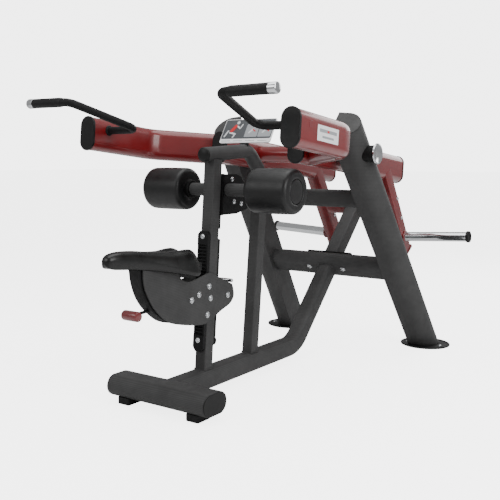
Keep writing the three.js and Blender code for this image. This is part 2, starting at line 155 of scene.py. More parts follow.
def gloss(name, c):
    m = Mat(name)
    base = lin(c)
    dark = tuple(v * 0.8 for v in base[:3]) + (1,)
    col = m.mixc(m.ramp(m.noise(6, 3), 0, 1), dark, base)
    fleck = m.ramp(m.voronoi(2400), 0.95, 1.0)
    peel = m.bump(m.noise(190, 2, 0.5), 0.05, 0.0006)
    m.b.inputs["Coat IOR"].default_value = 1.5
    return m.set(col, m.ramp(m.noise(25, 2), 0.34, 0.44), 0.0, peel, coat=(0.85, 0.12), spec=0.4)


def chrome(name, c=(214, 216, 218), r=0.1):
    m = Mat(name)
    mp = m.n("ShaderNodeMapping"); m.link(m.co, mp.inputs[0]); mp.inputs["Scale"].default_value = (25, 900, 900)
    sc = m.noise(1.0, 3, 0.6, mp.outputs[0])
    n = m.bump(sc, 0.03, 0.0002)
    return m.set(lin(c), m.ramp(sc, r * 0.7, r * 1.6), 1.0, n)


def rubber(name, c, r0=0.55, r1=0.72, grain=900, depth=0.0003, strength=0.3, sheen=None):
    m = Mat(name)
    a = lin(c)
    b = tuple(v * 1.5 for v in a[:3]) + (1,)
    col = m.mixc(m.ramp(m.noise(14, 4), 0, 1), a, b)
    n = m.bump(m.noise(grain, 3, 0.6), strength, depth)
    return m.set(col, m.ramp(m.noise(60, 3), r0, r1), 0.0, n, sheen=sheen, spec=0.28)


def skin(name, c, r0=0.36, r1=0.5, scale=620, strength=0.2):
    m = Mat(name)
    a = lin(c)
    b = tuple(v * 1.45 for v in a[:3]) + (1,)
    col = m.mixc(m.ramp(m.noise(8, 4), 0, 1), a, b)
    n = m.bump(m.voronoi(scale, "DISTANCE_TO_EDGE"), strength, 0.0003)
    n = m.bump(m.noise(110, 3), 0.06, 0.001, n)
    return m.set(col, m.ramp(m.noise(30, 3), r0, r1), 0.0, n, spec=0.42)


def printed(name, c, r=0.35):
    m = Mat(name)
    a = lin(c)
    b = tuple(min(1, v * 1.07) for v in a[:3]) + (1,)
    col = m.mixc(m.ramp(m.noise(60, 2), 0, 1), a, b)
    return m.set(col, m.ramp(m.noise(30, 2), r, r + 0.08), 0.0, m.bump(m.noise(700, 2), 0.03, 0.0002))


FRAME = powder("powder_charcoal", (67, 67, 67), 0.9)
# lighter copy of the charcoal frame paint for the leg-top caps: painted light on their upward-facing top face
LEG_TOP_LIT_PAINT = powder("powder_cap_painted_light", (70, 70, 70), 0.95)
BLACKM = powder("satin_black", (17, 17, 18), 0.7)
LEVER = gloss("gloss_maroon", (116, 12, 16))
CHROME = chrome("chrome_polished")
STEEL = powder("shaft_grey_paint", (92, 95, 98))
RUBBER = rubber("rubber_matt", (12, 12, 13))
GRIP = rubber("grip_rubber", (10, 10, 11), 0.5, 0.66, 1300, 0.0003, 0.4)
PLASTIC = rubber("cap_plastic_satin", (9, 9, 9), 0.4, 0.5, 1500, 0.0002, 0.2)
PAD = skin("moulded_skin", (9, 9, 10))
SADDLE = skin("saddle_skin", (9, 9, 9), 0.27, 0.38, 900, 0.1)
KNOB = gloss("knob_red_gloss", (112, 24, 28))
DARK = rubber("seam_dark", (6, 6, 7), 0.6, 0.8)
SIGN = printed("panel_grey", (70, 73, 76))
SIGN2 = printed("panel_light_grey", (150, 153, 156))
WHITE = printed("panel_white", (232, 232, 233))
REDP = printed("panel_red", (196, 32, 36))
FIG = printed("panel_figure", (206, 208, 210))


# ------------------------------------------------------------------ mesh helpers
def rrect(w, h, r, k=10):
    a, b = w / 2, h / 2
    r = min(r, a - 0.01, b - 0.01)
    out = []
    for cx, cy, s in ((a - r, -b + r, -90), (a - r, b - r, 0), (-a + r, b - r, 90), (-a + r, -b + r, 180)):
        for i in range(k + 1):
            t = math.radians(s + 90 * i / k)
            out.append((cx + r * math.cos(t), cy + r * math.sin(t)))
    return out


def stadium(w, h, k=14):
    return rrect(w, h, min(w, h) / 2 - 0.5, k)


def circle(r, k=40):
    return [(r * math.cos(2 * math.pi * i / k), r * math.sin(2 * math.pi * i / k)) for i in range(k)]


def legshape(g=0.0, k=28):
    w, u, d, cx = 65 + g, 60 + g, 67 + g, -8
    out = [(-u, -d), (cx, -d)]
    for i in range(1, k):
        t = math.radians(-90 + 180 * i / k)
        out.append((cx + (w - cx) * math.cos(t), d * math.sin(t)))
    out += [(cx, d), (-u, d)]
    return out


def rings_of(pts, radii, arc):
    pts = [V(p) for p in pts]
    out = [(pts[0], (pts[1] - pts[0]).normalized())]
    for i in range(1, len(pts) - 1):
        t0 = (pts[i] - pts[i - 1]).normalized()
        t1 = (pts[i + 1] - pts[i]).normalized()
        ang = t0.angle(t1)
        R = radii[i - 1]
        start = pts[i] - t0 * R * math.tan(ang / 2)
        ax = t0.cross(t1).normalized()
        c = start + ax.cross(t0) * R
        for k in range(arc + 1):
            q = Quaternion(ax, ang * k / arc)
            out.append((c + q @ (start - c), q @ t0))
    out.append((pts[-1], (pts[-1] - pts[-2]).normalized()))
    return out


def bm_tube(section, pts, radii=(), xdir=(1, 0, 0), arc=16):
    bm = bmesh.new()
    rings = rings_of(pts, radii, arc)
    n = V(xdir)
    prev = None
    last = None
    for i, (p, t) in enumerate(rings):
        if prev is not None:
            n = prev.rotation_difference(t) @ n
        n = (n - t * n.dot(t)).normalized()
        b = t.cross(n)
        prev = t
        cur = [bm.verts.new(p + n * x + b * y) for x, y in section]
        if last:
            m = len(cur)
            for k in range(m):
                bm.faces.new((last[k], last[(k + 1) % m], cur[(k + 1) % m], cur[k]))
        else:
            bm.faces.new(list(reversed(cur)))
        last = cur
    bm.faces.new(last)
    return bm


def bm_turned(profile, a, d, seg=64):
    """profile: (radius, height); closed on the axis at both ends"""
    bm = bmesh.new()
    q = V((0, 0, 1)).rotation_difference(V(d).normalized())
    a = V(a)
    rows = []
    for r, h in profile:
        if r < 1e-6:
            rows.append([bm.verts.new(a + q @ V((0, 0, h)))])
        else:
            rows.append([bm.verts.new(a + q @ V((r * math.cos(2 * math.pi * i / seg), r * math.sin(2 * math.pi * i / seg), h))) for i in range(seg)])
    for lo, hi in zip(rows, rows[1:]):
        for i in range(seg):
            j = (i + 1) % seg
            if len(lo) == 1 and len(hi) == 1:
                continue
            if len(lo) == 1:
                bm.faces.new((lo[0], hi[j], hi[i]))
            elif len(hi) == 1:
                bm.faces.new((lo[i], lo[j], hi[0]))
            else:
                bm.faces.new((lo[i], lo[j], hi[j], hi[i]))
    return bm


def bm_plate(outline, o, u, w, n, t):
    """outline of (u, w) pairs, thickened by t along n"""
    bm = bmesh.new()
    o, u, w, n = V(o), V(u), V(w), V(n)
    lo = [bm.verts.new(o + u * a + w * b) for a, b in outline]
    hi = [bm.verts.new(o + u * a + w * b + n * t) for a, b in outline]
    m = len(outline)
    bm.faces.new(list(reversed(lo)))
    bm.faces.new(hi)
    for k in range(m):
        bm.faces.new((lo[k], lo[(k + 1) % m], hi[(k + 1) % m], hi[k]))
    return bm


def cut(bm, co, no):
    """keeps the side the normal points away from"""
    r = bmesh.ops.bisect_plane(bm, geom=bm.verts[:] + bm.edges[:] + bm.faces[:], plane_co=V(co), plane_no=V(no), clear_outer=True)
    edges = [e for e in r["geom_cut"] if isinstance(e, bmesh.types.BMEdge)]
    bmesh.ops.contextual_create(bm, geom=edges)
    return bm


COUNT = {}


def piece(name, bm, mat, body, replaces=(), slot=None, bevel=0.0, sharp=32, seg=3, mirror=False, mm=True):
    if mirror:
        for v in bm.verts:
            v.co.x = -v.co.x
    if mm:
        for v in bm.verts:
            v.co = V((v.co.x, v.co.y + YS, v.co.z + ZS)) / 1000.0
    bmesh.ops.recalc_face_normals(bm, faces=bm.faces[:])
    bm.normal_update()
    for f in bm.faces:
        f.smooth = True
    for e in bm.edges:
        e.smooth = not (len(e.link_faces) == 2 and e.calc_face_angle(0) > math.radians(sharp))
    me = bpy.data.meshes.new(name)
    bm.to_mesh(me)
    bm.free()
    o = bpy.data.objects.new(name, me)
    bpy.context.scene.collection.objects.link(o)
    me.materials.append(mat)
    if bevel:
        b = o.modifiers.new("edge", "BEVEL")
        b.width = bevel / 1000
        b.segments = seg
        b.limit_method = "ANGLE"
        b.angle_limit = math.radians(sharp)
        b.harden_normals = True
    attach(o, body)
    if replaces:
        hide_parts(*replaces)
    return o


def two(name, make, mat, body, node=None, **kw):
    for side, mir in (("right", False), ("left", True)):
        bd = body if isinstance(body, str) else body[side]
        piece(f"{name}_{side}", make(), mat, bd, replaces=[f"{node}_{side}"] if node else (), mirror=mir, **kw)


def bolt(name, at, d, mat, body, r=11, h=7, slot="chrome"):
    """button-head screw with a round socket recess"""
    d = V(d).normalized()
    prof = [(0, 0), (r + 2.5, 0), (r + 2.5, 1.6), (r, 1.8), (r, h * 0.45), (r * 0.93, h * 0.72), (r * 0.72, h * 0.93), (r * 0.5, h), (r * 0.47, h), (r * 0.45, h * 0.45), (0, h * 0.45)]
    return piece(name, bm_turned(prof, at, d, 24), mat, body, slot=slot, sharp=28)


def hexnut(name, at, d, body, r=11, h=9):
    d = V(d).normalized()
    up = V((0, 0, 1)) if abs(d.z) < 0.9 else V((1, 0, 0))
    return piece(name, bm_tube([(r * math.cos(math.radians(60 * i)), r * math.sin(math.radians(60 * i))) for i in range(6)], [V(at), V(at) + d * h], (), up), CHROME, body, slot="chrome", bevel=1.2)


def weld(name, loop, body, mat=FRAME, slot="frame_paint", r=3.2, mirror=False):
    """weld bead running round a closed loop"""
    bm = bmesh.new()
    n = len(loop)
    pts = [V(p) for p in loop]
    rows = []
    k = 8
    cen = sum(pts, V((0, 0, 0))) / n
    for i in range(n):
        t = (pts[(i + 1) % n] - pts[i - 1]).normalized()
        out = (pts[i] - cen); out = (out - t * out.dot(t)).normalized()
        b = t.cross(out)
        rr = r * (1 + 0.12 * math.sin(i * 2.4))
        rows.append([bm.verts.new(pts[i] + out * rr * math.cos(2 * math.pi * j / k) + b * rr * math.sin(2 * math.pi * j / k)) for j in range(k)])
    for i in range(n):
        a, b2 = rows[i], rows[(i + 1) % n]
        for j in range(k):
            bm.faces.new((a[j], a[(j + 1) % k], b2[(j + 1) % k], b2[j]))
    return piece(name, bm, mat, body, slot=slot, sharp=80, mirror=mirror)


def dense(loop, step=6.0):
    out = []
    n = len(loop)
    for i in range(n):
        a, b = V(loop[i]), V(loop[(i + 1) % n])
        m = max(1, int((b - a).length / step))
        out += [a.lerp(b, j / m) for j in range(m)]
    return out


# ------------------------------------------------------------------ legs, feet, cross members
def leg_at(z):
    return V((424 - 0.081 * z, 62 - 0.675 * z, z))


top_n = V((0.10, -0.72, 0.687)).normalized()
leg_top = leg_at(1136)


def make_leg():
    bm = bm_tube(legshape(), [leg_at(-140), leg_at(1330)])
    cut(bm, (0, 0, 24.0), (0, 0, -1))
    cut(bm, leg_top, top_n)
    return bm


def make_legcap():
    bm = bm_tube(legshape(-0.8), [leg_at(900), leg_at(1330)])
    cut(bm, leg_top + top_n * 1.6, -top_n)
    cut(bm, leg_top + top_n * 5.2, top_n)
    return bm


def make_legseam():
    bm = bm_tube(legshape(-3.5), [leg_at(900), leg_at(1330)])
    cut(bm, leg_top - top_n * 2, -top_n)
    cut(bm, leg_top + top_n * 2.2, top_n)
    return bm


two("leg_shell", make_leg, FRAME, "frame", "leg", slot="frame_paint", bevel=1.4, sharp=35)
# leg-top caps take the lighter copy of the frame paint: painted light on the top face
two("leg_cap_plate", make_legcap, LEG_TOP_LIT_PAINT, "frame", "leg_cap", slot="cap_plastic", bevel=1.0, sharp=35)
two("leg_cap_seam", make_legseam, DARK, "frame", slot="rubber")


def make_foot():
    R = 1.0
    prof = [(0, 0.3), (124, 0.3), (126.5, 1.5), (128, 4), (128, 7), (126.5, 9.2), (124, 10), (117, 10), (114.5, 9), (113, 7.2), (0, 7.2)]
    bm = bm_turned(prof, (0, 0, 0), (0, 0, 1), 96)
    for v in bm.verts:
        v.co = V((v.co.x + 424, v.co.y * 118 / 128 + 37, v.co.z + 15))
    return bm


two("foot_disc", make_foot, RUBBER, "frame", "foot_plate", slot="rubber", sharp=40)
for s in (1, -1):
    sd = "right" if s > 0 else "left"
    for i, (dx, dy) in enumerate(((-88, -22), (88, -22))):
        bolt(f"foot_bolt_{sd}_{i}", (s * 424 + dx, 37 + dy, 22.2), (0, 0, 1), CHROME, "frame", r=8, h=6)
    base = [leg_at(24) + V((x, y * 1.2066, 0)) for x, y in legshape(1.0, 20)]
    weld(f"weld_leg_foot_{sd}", dense([V((p.x, p.y, 24)) for p in base], 8), "frame", BLACKM, "black_metal", r=3.6, mirror=s < 0)

piece("foot_tube", bm_tube(stadium(140, 86), [(-243.7, -1546, 83), (243.7, -1546, 83)], (), (0, 1, 0)), FRAME, "frame", ["front_foot_tube"], "frame_paint", bevel=0.8)


def make_footcap():
    return bm_tube(stadium(139.2, 85.2), [(243.9, -1546, 83), (248.2, -1546, 83)], (), (0, 1, 0))


two("foot_tube_cap", make_footcap, PLASTIC, "frame", "front_foot_cap", slot="cap_plastic", bevel=2.6)
two("foot_tube_pad", lambda: bm_tube(rrect(62, 78, 9), [(176, -1560, 15.2), (176, -1560, 44)]), RUBBER, "frame", "foot_pad", slot="rubber", bevel=2.5)

cl = V((0, -1, 1)).normalized()
rise = V((0, 1, 1)).normalized()
cc = V((0, -247, 443))
lx = 424 - 0.081 * 443 - 55
piece("cross_lower", bm_tube(stadium(140, 75), [(-lx, -247, 443), (lx, -247, 443)], (), cl), FRAME, "frame", ["lower_cross_member"], "frame_paint")
tx = 424 - 0.081 * 800 - 55
piece("cross_upper", bm_tube(rrect(100, 81, 20), [(-tx, -478, 800), (tx, -478, 800)], (), (0, 1, 0)), FRAME, "frame", ["upper_cross_member"], "frame_paint")
for s in (1, -1):
    sd = "right" if s > 0 else "left"
    xi = s * (424 - 0.081 * 443 - 60.4)
    lp = [cc + cl * a + rise * b for a, b in stadium(142, 77, 8)]
    weld(f"weld_cross_lower_{sd}", dense([V((xi - s * 0.081 * (p.z - 443), p.y, p.z)) for p in lp], 8), "frame", r=3)
    xi = s * (424 - 0.081 * 800 - 60.4)
    lp = [V((0, -478, 800)) + V((0, a, b)) for a, b in rrect(102, 83, 20, 5)]
    weld(f"weld_cross_upper_{sd}", dense([V((xi - s * 0.081 * (p.z - 800), p.y, p.z)) for p in lp], 8), "frame", r=3)

piece("beam", bm_tube(rrect(82, 86, 25), [(0, -1519, 83), (0, -607, 83), cc - rise * 30], (150,), (1, 0, 0), 24), FRAME, "frame", ["main_beam"], "frame_paint")
lp = [cc - rise * 38.3 + V((1, 0, 0)) * a + cl * b for a, b in rrect(84, 88, 25, 6)]
weld("weld_beam_cross", dense(lp, 8), "frame", r=3.2)

bc = V((0, 46, 736))
piece("strut", bm_tube(rrect(75, 75, 9), [cc + rise * 43, bc - rise * 50.6]), FRAME, "frame", ["stop_strut"], "frame_paint", bevel=0.8)
piece("strut_flange", bm_tube(rrect(260, 104, 8), [cc + rise * 37.7, cc + rise * 43.9]), BLACKM, "frame", slot="black_metal", bevel=1.0)
weld("weld_strut", dense([cc + rise * 44.5 + V((1, 0, 0)) * a + cl * b for a, b in rrect(76, 76, 9, 4)], 8), "frame", r=2.8)
piece("strut_bumper", bm_tube(rrect(82, 82, 10), [bc - rise * 50.3, bc - rise * 38.3]), RUBBER, "frame", ["stop_bumper"], "rubber", bevel=2.5)
for s in (1, -1):
    at = cc + V((s * 98, 0, 0)) - rise * 37.5 - cl * -14
    bolt(f"cross_bolt_{'right' if s > 0 else 'left'}", at, -rise, CHROME, "frame", r=11, h=9)
    for j in (-1, 1):
        hexnut(f"cross_nut_{'right' if s > 0 else 'left'}_{'a' if j < 0 else 'b'}", cc + V((s * 98, 0, 0)) + rise * 43.9 + cl * (14 if j > 0 else -30), rise, "frame", 9, 7)

# ------------------------------------------------------------------ posts and neck
def post_at(z, y=-1306, k=0.0871):
    return V((0, y + k * (z - 126), z))


pz = V((0, 0.0871, 1)).normalized()
py = pz.cross(V((1, 0, 0))).normalized()
PO = V((0, -1306, 126))


def S(z):
    return (z - 126) / pz.z


piece("post_front", bm_tube(rrect(54, 54, 6, 5), [post_at(120), post_at(985)]), FRAME, "frame", ["front_post"], "frame_paint")
piece("post_rear", bm_tube(rrect(54, 54, 6, 5), [post_at(120, -972, 0.1036), post_at(889, -972, 0.1036)]), FRAME, "frame", ["rear_post"], "frame_paint", bevel=0.8)
neck_pts = [(0, -1291, 1003), (0, -985, 1022), (0, -893, 925), (0, -896.6, 890)]
piece("neck", bm_tube(circle(30, 48), neck_pts, (70, 58), (1, 0, 0), 20), FRAME, "frame", ["neck_tube"], "frame_paint")
nd = V((0, 307, 19)).normalized()
piece("neck_end", bm_turned([(0, 0), (29.6, 0), (30, 1), (29.7, 4), (27.5, 7), (23, 10), (16, 12.4), (8, 13.8), (0, 14.2)], V(neck_pts[0]) - nd * 0.2, -nd, 48), PLASTIC, "frame", ["neck_cap"], "cap_plastic")
weld("weld_post_front", dense([V((a, -1306 + b, 126.6)) for a, b in rrect(56, 57, 6, 3)], 6), "frame", r=2.8)
weld("weld_post_rear", dense([V((a, -972 + b, 126.6)) for a, b in rrect(56, 57, 6, 3)], 6), "frame", r=2.8)
weld("weld_neck_post", dense([V((a, -896 + b, 890)) for a, b in rrect(57, 57, 12, 4)], 6), "frame", r=2.4)


def P2(x, yl, s):
    return PO + V((x, 0, 0)) + py * yl + pz * s


# rack with ratchet teeth on the front of the post
def rack_prof(y0, y1, z0, z1):
    out = [(-27.2, S(z0)), (y0, S(z0))]
    zz = S(z0) + 8
    while zz < S(z1) - 16:
        out += [(y0, zz), (y1, zz + 2.6), (y1, zz + 8.2), (y0, zz + 11)]
        zz += 14.0
    return out + [(y0, S(z1)), (-27.2, S(z1))]


piece("rack", bm_plate(rack_prof(-37.0, -42.5, 240, 650), P2(-19, 0, 0), py, pz, (1, 0, 0), 38), BLACKM, "frame", ["rack_plate"], "black_metal", bevel=0.5, seg=2, sharp=20)
for nm, a in (("left", -26.6), ("right", 19.2)):
    piece(f"rack_rail_{nm}", bm_plate([(-27.2, S(215)), (-44.0, S(215)), (-44.0, S(680)), (-27.2, S(680))], P2(a, 0, 0), py, pz, (1, 0, 0), 7.4), BLACKM, "frame", slot="black_metal", bevel=0.8)
for nm, zlo, zhi, zb in (("low", 200, 268, 247), ("high", 636, 692, 670)):
    w = 26.8
    if nm == "low":
        ol = [(-w * 0.5, S(zlo)), (w * 0.5, S(zlo)), (w, S(zlo + 18)), (w, S(zhi)), (-w, S(zhi)), (-w, S(zlo + 18))]
    else:
        ol = [(-w, S(zlo)), (w, S(zlo)), (w, S(zhi - 14)), (w * 0.6, S(zhi)), (-w * 0.6, S(zhi)), (-w, S(zhi - 14))]
    piece(f"rack_end_{nm}", bm_plate(ol, P2(0, -46, 0), (1, 0, 0), pz, py, 18.5), BLACKM, "frame", slot="black_metal", bevel=1.6)
    bolt(f"rack_bolt_{nm}", P2(0, -46, S(zb)), -py, CHROME, "frame", r=8, h=4)

# gas strut
GY = 49
piece("gas_body", bm_turned([(0, 0), (9, 0), (12.5, 4), (14, 8), (14, S(660) - S(247) - 5), (12.5, S(660) - S(247)), (6.5, S(660) - S(247) + 1), (0, S(660) - S(247) + 1)], P2(0, GY, S(247)), pz, 40), BLACKM, "frame", ["gas_strut"], "black_metal")
piece("gas_eye", bm_turned([(0, -11), (15.5, -11), (17, -9.5), (17, 9.5), (15.5, 11), (8, 11), (7, 9), (0, 9)], P2(0, GY, S(235)), (1, 0, 0), 40), BLACKM, "frame", slot="black_metal")
piece("gas_lug", bm_plate([(27, S(222)), (GY - 6, S(224)), (GY, S(230)), (GY, S(242)), (27, S(250))], P2(-8, 0, 0), py, pz, (1, 0, 0), 5), BLACKM, "frame", slot="black_metal", bevel=0.8)
piece("gas_stem", bm_turned([(0, 0), (5, 0), (5, 46), (0, 46)], P2(0, GY, S(659)), pz, 24), CHROME, "frame", slot="chrome")
piece("gas_sleeve", bm_turned([(0, 0), (11, 0), (12, 1.5), (12, S(822) - S(702) - 2), (10.5, S(822) - S(702)), (0, S(822) - S(702))], P2(0, GY, S(702)), pz, 32), RUBBER, "frame", slot="rubber")

# ------------------------------------------------------------------ rollers
piece("roller_tube", bm_tube(circle(27, 48), [(-168, -1179, 859), (168, -1179, 859)], (), (0, 0, 1)), FRAME, "frame", ["roller_shaft"], "frame_paint")
two("roller_collar", lambda: bm_turned([(0, 0), (36, 0), (38, 1.5), (38, 13), (36, 15), (0, 15)], (152.8, -1179, 859), (1, 0, 0), 56), PLASTIC, {"right": "roller_r", "left": "roller_l"}, slot="cap_plastic")
RA = V((168, -1179, 859))
L = 201
pr = [(0, 1.5), (40, 1.5), (42, 3), (44, 3.2), (46, 1.6), (50, 0.6)]
for k in range(0, 9):
    t = math.radians(11.25 * k)
    pr.append((90 - 19 + 18.6 * math.sin(t), 19 - 19 * math.cos(t)))
for k in range(1, 8):
    u = k / 8
    pr.append((89.6 + 0.9 * math.sin(math.pi * u), 19 + (L - 38) * u))
for k in range(0, 9):
    t = math.radians(11.25 * k)
    pr.append((90 - 19 + 18.6 * math.cos(t), L - 19 + 19 * math.sin(t)))
pr += [(60, L + 0.3), (53, L - 0.2), (51, L - 2), (50, L - 6), (48.8, L - 6.2), (48, L - 4), (46.6, L - 2.2), (44.5, L - 1.6), (30, L - 1.3), (0, L - 1.0)]


def make_roller():
    return bm_turned(pr, RA, (1, 0, 0), 96)


for s, mir, bd in (("right", False, "roller_r"), ("left", True, "roller_l")):
    o = piece(f"roller_pad_{s}", make_roller(), PAD, bd, [f"roller_{s}"], "pad_skin", sharp=60, mirror=mir)

outline = [(-1223.3, 757), (-1120, 757), (-1040, 775), (-1012, 800), (-1012, 826), (-1090, 916), (-1120, 924), (-1209, 924)]
for s, x0 in (("right", 30), ("left", -36)):
    piece(f"bracket_cheek_{s}", bm_plate(outline, (x0, 0, 0), (0, 1, 0), (0, 0, 1), (1, 0, 0), 6), BLACKM, "frame", ["roller_bracket"] if s == "right" else (), "black_metal", bevel=1.2)
piece("bracket_back", bm_plate([(-36, S(757) + 1), (36, S(757) + 1), (36, S(924) - 1), (-36, S(924) - 1)], P2(0, 27.2, 0), (1, 0, 0), pz, py, 6), BLACKM, "frame", slot="black_metal", bevel=1)
piece("bracket_web", bm_tube(rrect(62, 6, 1, 2), [(0, -1063, 772), (0, -1063, 880)]), BLACKM, "frame", slot="black_metal")
for i, (y, z) in enumerate(((-1152, 903), (-1139, 809), (-1088, 798))):
    for s in (1, -1):
        bolt(f"bracket_bolt_{i}_{'right' if s > 0 else 'left'}", (s * 36, y, z), (s, 0, 0), CHROME, "frame", r=8, h=6)

# ------------------------------------------------------------------ placard
up = V((0, 62, 103)).normalized()
nr = V((1, 0, 0)).cross(up).normalized()
BO = V((0, -1020, 1057))


def sign(name, ol, off, t, mat, slot="placard", replaces=(), bevel=0.0):
    return piece(name, bm_plate(ol, BO + nr * off, (1, 0, 0), up, nr, t), mat, "frame", replaces, slot, bevel=bevel)


def rr(x0, x1, y0, y1, r=4):
    return [(a + (x0 + x1) / 2, b + (y0 + y1) / 2) for a, b in rrect(x1 - x0, y1 - y0, r, 5)]


sign("placard_body", rr(-134, 134, 0, 120, 9), -6, 5.4, WHITE, replaces=["placard_panel"], bevel=0.8)
sign("placard_back", rr(-130, 130, 4, 116, 7), -6.6, 0.7, BLACKM, "black_metal")
sign("placard_field", rr(-131, 130, 20, 117, 6), -0.7, 0.5, SIGN)
sign("placard_box_a", rr(-10, 56, 28, 92, 4), -0.3, 0.5, SIGN2)
sign("placard_box_b", rr(60, 126, 28, 92, 4), -0.3, 0.5, SIGN2)


def limb(name, a, b, w, mat, off=-0.25):
    a, b = V((a[0], a[1], 0)), V((b[0], b[1], 0))
    d = (b - a).normalized(); n = V((-d.y, d.x, 0)) * w / 2
    ol = []
    for c, ang in ((b, -90), (a, 90)):
        for k in range(7):
            t = math.radians(ang + 30 * k)
            q = c + d * (w / 2) * math.cos(t) + n.normalized() * (w / 2) * math.sin(t)
            ol.append((q.x, q.y))
    sign(name, ol, off, 0.5, mat)


limb("icon_torso", (-86, 60), (-70, 84), 17, REDP, -0.1)
limb("icon_arm", (-68, 88), (-44, 72), 7, FIG)
limb("icon_forearm", (-44, 72), (-36, 92), 6, FIG)
limb("icon_thigh", (-92, 52), (-62, 44), 9, FIG)
limb("icon_shin", (-62, 44), (-70, 27), 7, FIG)
limb("icon_seat", (-116, 32), (-104, 60), 8, FIG)
sign("icon_head", [(-62 + 8 * math.cos(t / 16 * 2 * math.pi), 102 + 8 * math.sin(t / 16 * 2 * math.pi)) for t in range(16)], -0.2, 0.5, FIG)
for nm, x in (("a", 23), ("b", 93)):
    limb(f"icon_{nm}_body", (x - 12, 50), (x + 4, 66), 8, FIG, 0.1)
    limb(f"icon_{nm}_limb", (x + 4, 66), (x + 18, 56), 5, REDP, 0.15)
    sign(f"icon_{nm}_head", [(x + 12 + 5 * math.cos(t / 12 * 2 * math.pi), 76 + 5 * math.sin(t / 12 * 2 * math.pi)) for t in range(12)], 0.1, 0.5, FIG)
for i in range(4):
    sign(f"placard_rule_{i}", rr(-124 + i * 64, -124 + i * 64 + 48, 8.5, 11, 1), -0.55, 0.4, SIGN2)

# ------------------------------------------------------------------ lever
la = math.atan(0.1051)
LM = Matrix.Translation((0, 0, 942.6)) @ Matrix.Rotation(-la, 4, "X")


def sy(y):
    return y / math.cos(la)


def lev(bm):
    bmesh.ops.transform(bm, matrix=LM, verts=bm.verts[:])
    return bm


sec = stadium(75, 140, 18)
capsec = rrect(81, 146, 40, 14)
two("lever_tube", lambda: lev(bm_tube(sec, [(205, sy(-915), 0), (205, sy(107), 0)])), LEVER, "lever", "rear_tube", slot="lever_paint")
two("lever_tube_cap_front", lambda: lev(bm_tube(capsec, [(205, sy(-927), 0), (205, sy(-914.6), 0)])), PLASTIC, "lever", "tube_front_cap", slot="cap_plastic", bevel=3.2, seg=4)
two("lever_tube_cap_rear", lambda: lev(bm_tube(capsec, [(205, sy(106.6), 0), (205, sy(117), 0)])), PLASTIC, "lever", "tube_rear_cap", slot="cap_plastic", bevel=3.2, seg=4)
two("lever_arm", lambda: lev(bm_tube(sec, [(505, sy(-1439), 0), (505, sy(-1060), 0), (212, sy(-804), 0)], (130,), (1, 0, 0), 28)), LEVER, "lever", "arm", slot="lever_paint")
two("lever_arm_cap", lambda: lev(bm_tube(capsec, [(505, sy(-1451), 0), (505, sy(-1438.6), 0)])), PLASTIC, "lever", "arm_cap", slot="cap_plastic", bevel=3.6, seg=4)
piece("pivot_sleeve", bm_tube(circle(38, 48), [(-168, -630, 1009), (168, -630, 1009)], (), (0, 0, 1)), LEVER, "lever", ["pivot_shaft"], "lever_paint")
two("pivot_stub", lambda: bm_tube(circle(20, 40), [(240, -630, 1009), (271.5, -630, 1009)], (), (0, 0, 1)), CHROME, "lever", slot="chrome")
two("pivot_washer", lambda: bm_turned([(0, 0), (33, 0), (34, 1), (34, 7), (33, 8), (0, 8)], (242.4, -630, 1009), (1, 0, 0), 48), BLACKM, "lever", slot="black_metal")


def hang_at(z):
    return V((205, 164 - 0.66 * (z - 567), z))


hd = (hang_at(500) - hang_at(600)).normalized()
two("hanging", lambda: bm_tube(rrect(76, 68, 10, 6), [hang_at(925), hang_at(490)]), LEVER, "lever", "hanging_arm", slot="lever_paint")
two("hanging_end", lambda: bm_tube(rrect(84, 96, 12, 6), [hang_at(490), hang_at(490) + hd * 12]), LEVER, "lever", "hanging_arm_cap", slot="lever_paint", bevel=2)
piece("brace", bm_tube(rrect(76, 76, 12, 6), [(-168, 46, 736), (168, 46, 736)], (), rise), LEVER, "lever", ["lever_brace"], "lever_paint")
for s in (1, -1):
    for i, (y, z) in enumerate(((47, 778), (107, 672))):
        bolt(f"hanging_bolt_{i}_{'right' if s > 0 else 'left'}", (s * 243, y, z), (s, 0, 0), CHROME, "lever", r=8, h=7)
        bolt(f"hanging_bolt_in_{i}_{'right' if s > 0 else 'left'}", (s * 167, y, z), (-s, 0, 0), CHROME, "lever", r=8, h=7)

ha, hb = V((243.2, 158, 566)), V((602, 163.1, 585.3))
hL = (hb - ha).length
two("horn_bar", lambda: bm_turned([(0, -4), (25.2, -4), (25.2, hL - 15), (0, hL - 15)], ha, hb - ha, 64), CHROME, "lever", "horn", slot="chrome")
two("horn_flange", lambda: bm_turned([(0, 0), (33, 0), (34, 1), (34, 5), (32, 7), (25, 7.5), (0, 7.5)], ha, hb - ha, 48), LEVER, "lever", slot="lever_paint")
two("horn_end", lambda: bm_turned([(0, hL - 16), (28, hL - 16), (30, hL - 14.5), (30.4, hL - 4), (29, hL - 1.2), (26.5, hL), (19, hL), (17.5, hL - 1.2), (16.6, hL - 4), (0, hL - 4)], ha, hb - ha, 56), PLASTIC, "lever", slot="cap_plastic")

# handles
hp = [V((462, -1356.8, 1107)), V((304, -1350, 1107)), V((364, -1667, 1204)), V((598, -1668, 1206))]
hdir = (hp[3] - hp[2]).normalized()
two("handle_tube", lambda: bm_tube(circle(16, 36), [hp[0], hp[1], hp[2], hp[3] - hdir * 170], (38, 38), (0, 0, 1), 14), BLACKM, "lever", "handle", slot="black_metal")


def make_grip():
    pr = [(0, 0), (16.2, 0), (17.0, 1.0), (18.0, 6), (18.8, 14), (18.8, 162), (18.3, 163.5), (0, 163.5)]
    return bm_turned(pr, hp[3] - hdir * 196, hdir, 48)


